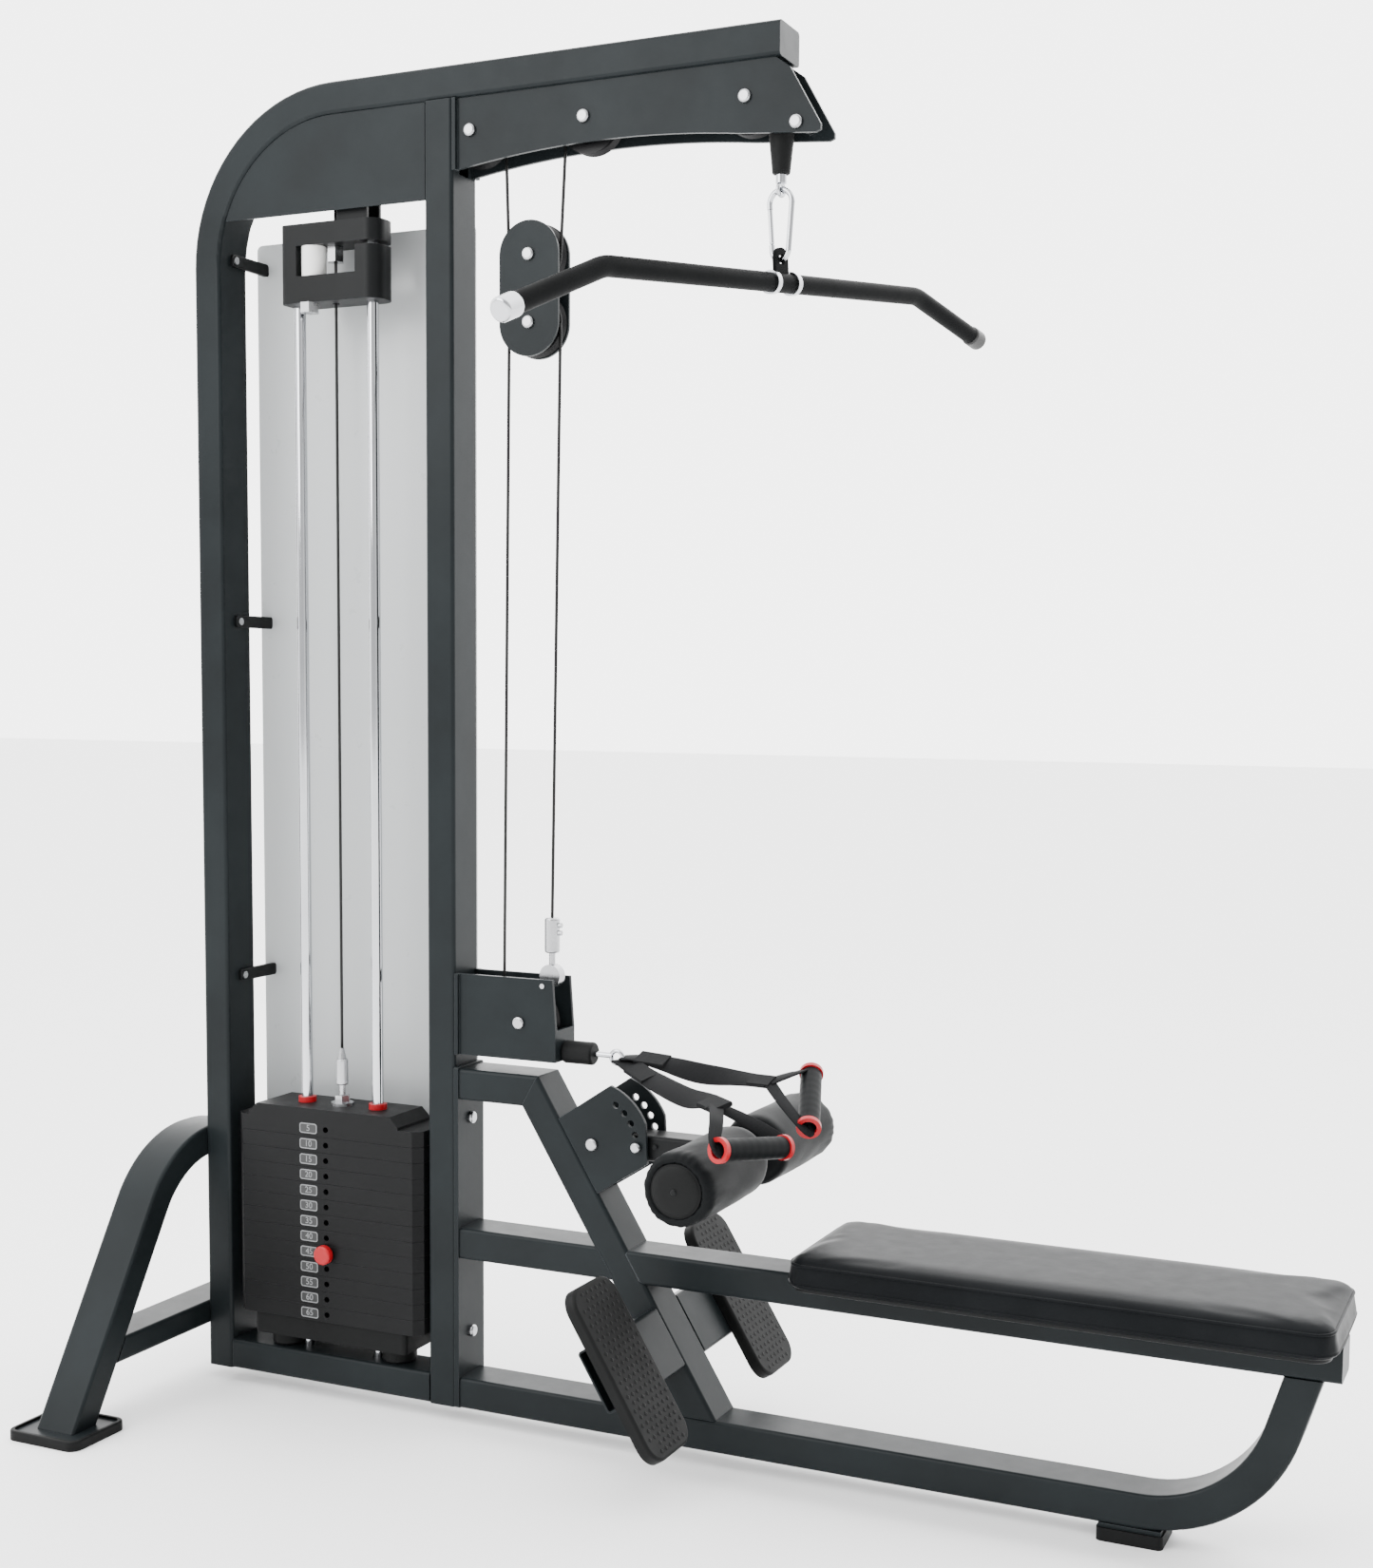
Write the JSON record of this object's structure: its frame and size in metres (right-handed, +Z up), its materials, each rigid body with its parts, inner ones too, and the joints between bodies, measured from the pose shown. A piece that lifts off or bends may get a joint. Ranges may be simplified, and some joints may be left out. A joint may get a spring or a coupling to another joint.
{
  "type": "seated cable row",
  "caption": "Cable strength machine with a low row station, a high pull-down bar, a selector weight stack, a straddled bench, footplates and a thigh roller.",
  "frame": {"origin": "on the floor under the middle of the machine's bounding box", "axes": "+Z up; +X from the weight stack towards the user's end of the bench; the mid-plane of the machine is Y = 0 and -Y is the side that shows the stack's labels"},
  "size_m": [1.9774, 1.2582, 2.14],
  "materials": {
    "frame_paint": "satin graphite powder coat",
    "plate_paint": "satin black powder coat",
    "shroud_silver": "smooth silver-grey paint",
    "chrome": "polished chrome plating",
    "zinc": "bright zinc plating",
    "weight_black": "satin black paint",
    "rubber_black": "matt moulded rubber",
    "foam_black": "dense closed-cell foam under a smooth black skin",
    "red_plastic": "glossy red",
    "red_metal": "red anodised",
    "nylon_white": "natural nylon",
    "pulley_black": "glass-filled nylon",
    "cable_black": "nylon-coated steel cable, black",
    "vinyl_black": "satin upholstery vinyl with a fine grain",
    "webbing_black": "woven nylon webbing"
  },
  "bodies": {
    "frame": {"main_tube": "frame_paint", "front_upright": "frame_paint", "stack_base_tube": "frame_paint", "arm_plates": "frame_paint", "header_panel": "frame_paint", "shroud_panel": "shroud_silver", "shroud_clips": "plate_paint", "rod_head": "plate_paint", "head_roller": "nylon_white", "guide_rods": "chrome", "stack_bumpers": "rubber_black", "rear_legs": "frame_paint", "rear_crossbar": "frame_paint", "foot_plates": "frame_paint", "foot_shoes": "rubber_black", "seat_flange": "frame_paint", "seat_top_tube": "frame_paint", "diagonal_post": "frame_paint", "seat_rail": "frame_paint", "seat_base_tube": "frame_paint", "footrest_tube": "frame_paint", "footplates": "rubber_black", "sector_plates": "plate_paint", "low_housing": "frame_paint", "cable_anchor": "plate_paint", "seat_pad": "vinyl_black", "axle_bolts": "zinc", "small_fasteners": "zinc", "weights_resting": "weight_black", "cable_fixed": "cable_black", "cable_strands": "cable_black"},
    "stack": {"weights_lifted": "weight_black", "top_plate": "weight_black", "rod_bushes": "red_plastic", "selector_stem": "zinc"},
    "stack_pin": {"selector_pin": "red_plastic"},
    "block": {"block_plates": "plate_paint", "block_bolts": "zinc", "cable_block_wraps": "cable_black"},
    "wheel_stack": {"pulley_stack": "pulley_black"},
    "wheel_rear": {"pulley_rear": "pulley_black"},
    "wheel_mid": {"pulley_mid": "pulley_black"},
    "wheel_front": {"pulley_front": "pulley_black"},
    "wheel_low": {"pulley_low": "pulley_black"},
    "wheel_block_upper": {"pulley_block_upper": "pulley_black"},
    "wheel_block_lower": {"pulley_block_lower": "pulley_black"},
    "row_handle": {"low_stop": "rubber_black", "low_link": "chrome", "handle_straps": "webbing_black", "handle_grips": "foam_black", "grip_rings": "red_metal"},
    "lat_end": {"lat_stop": "rubber_black"},
    "lat_swing": {"lat_carabiner": "chrome", "lat_bar": "plate_paint", "bar_fittings": "chrome"},
    "gate": {"carabiner_gate": "chrome"},
    "arm": {"roller_arm": "plate_paint"},
    "roll_near": {"roller_near": "foam_black"},
    "roll_far": {"roller_far": "foam_black"},
    "arm_pin": {"roller_pin": "zinc"}
  },
  "joints": [
    {"name": "stack_lift", "type": "slide", "parent": "frame", "child": "stack", "axis": [0, 0, 1], "range_m": [0, 1.1], "deforming": ["cable_strands"]},
    {"name": "selector_pin_pull", "type": "slide", "parent": "stack", "child": "stack_pin", "axis": [0, -1, 0], "range_m": [0, 0.08]},
    {"name": "block_drop", "type": "slide", "parent": "frame", "child": "block", "axis": [0, 0, -1], "range_m": [0, 0.55]},
    {"name": "row_pull", "type": "slide", "parent": "frame", "child": "row_handle", "axis": [1, 0, 0], "range_m": [0, 1.1]},
    {"name": "lat_pull", "type": "slide", "parent": "frame", "child": "lat_end", "axis": [0, 0, -1], "range_m": [0, 0.95]},
    {"name": "lat_swivel", "type": "hinge", "parent": "lat_end", "child": "lat_swing", "pos_m": [0.14325, 0, 1.92], "axis": [0, 0, 1], "range_deg": [-65, 80]},
    {"name": "gate_hinge", "type": "hinge", "parent": "lat_swing", "child": "gate", "pos_m": [0.12887, 0.00254, 1.8376], "axis": [0.1736, 0.9848, 0], "range_deg": [0, 22], "stiffness_Nm_per_rad": 0.02},
    {"name": "roller_arm_hinge", "type": "hinge", "parent": "frame", "child": "arm", "pos_m": [-0.14075, 0, 0.484], "axis": [0, -1, 0], "range_deg": [0, 55.6], "deforming": ["handle_straps"]},
    {"name": "roller_near_spin", "type": "hinge", "parent": "arm", "child": "roll_near", "pos_m": [0.10125, -0.14, 0.484], "axis": [0, 1, 0], "continuous": true},
    {"name": "roller_far_spin", "type": "hinge", "parent": "arm", "child": "roll_far", "pos_m": [0.10125, 0.14, 0.484], "axis": [0, 1, 0], "continuous": true},
    {"name": "roller_pin_pull", "type": "slide", "parent": "frame", "child": "arm_pin", "axis": [0, -1, 0], "range_m": [0, 0.025]},
    {"name": "wheel_stack_spin", "type": "hinge", "parent": "frame", "child": "wheel_stack", "pos_m": [-0.58375, 0, 2.04], "axis": [0, 1, 0], "continuous": true},
    {"name": "wheel_rear_spin", "type": "hinge", "parent": "frame", "child": "wheel_rear", "pos_m": [-0.35975, 0, 2.04], "axis": [0, 1, 0], "continuous": true},
    {"name": "wheel_mid_spin", "type": "hinge", "parent": "frame", "child": "wheel_mid", "pos_m": [-0.16375, 0, 2.04], "axis": [0, 1, 0], "continuous": true},
    {"name": "wheel_front_spin", "type": "hinge", "parent": "frame", "child": "wheel_front", "pos_m": [0.09825, 0, 2.04], "axis": [0, 1, 0], "continuous": true},
    {"name": "wheel_low_spin", "type": "hinge", "parent": "frame", "child": "wheel_low", "pos_m": [-0.27375, 0, 0.664], "axis": [0, 1, 0], "continuous": true},
    {"name": "wheel_block_upper_spin", "type": "hinge", "parent": "block", "child": "wheel_block_upper", "pos_m": [-0.26375, 0, 1.849], "axis": [0, 1, 0], "continuous": true},
    {"name": "wheel_block_lower_spin", "type": "hinge", "parent": "block", "child": "wheel_block_lower", "pos_m": [-0.26375, 0, 1.747], "axis": [0, 1, 0], "continuous": true}
  ],
  "couplings": [
    {"joint": "block_drop", "follows": "stack_lift", "ratio": 0.5},
    {"joint": "row_pull", "follows": "stack_lift", "ratio": 1},
    {"joint": "wheel_stack_spin", "follows": "stack_lift", "rad_per_m": 22.222},
    {"joint": "wheel_rear_spin", "follows": "stack_lift", "rad_per_m": 22.222},
    {"joint": "wheel_low_spin", "follows": "stack_lift", "rad_per_m": -22.222},
    {"joint": "wheel_block_upper_spin", "follows": "stack_lift", "rad_per_m": -11.111},
    {"joint": "wheel_block_lower_spin", "follows": "stack_lift", "rad_per_m": -11.111},
    {"joint": "wheel_mid_spin", "follows": "lat_pull", "rad_per_m": 22.222},
    {"joint": "wheel_front_spin", "follows": "lat_pull", "rad_per_m": 22.222}
  ]
}
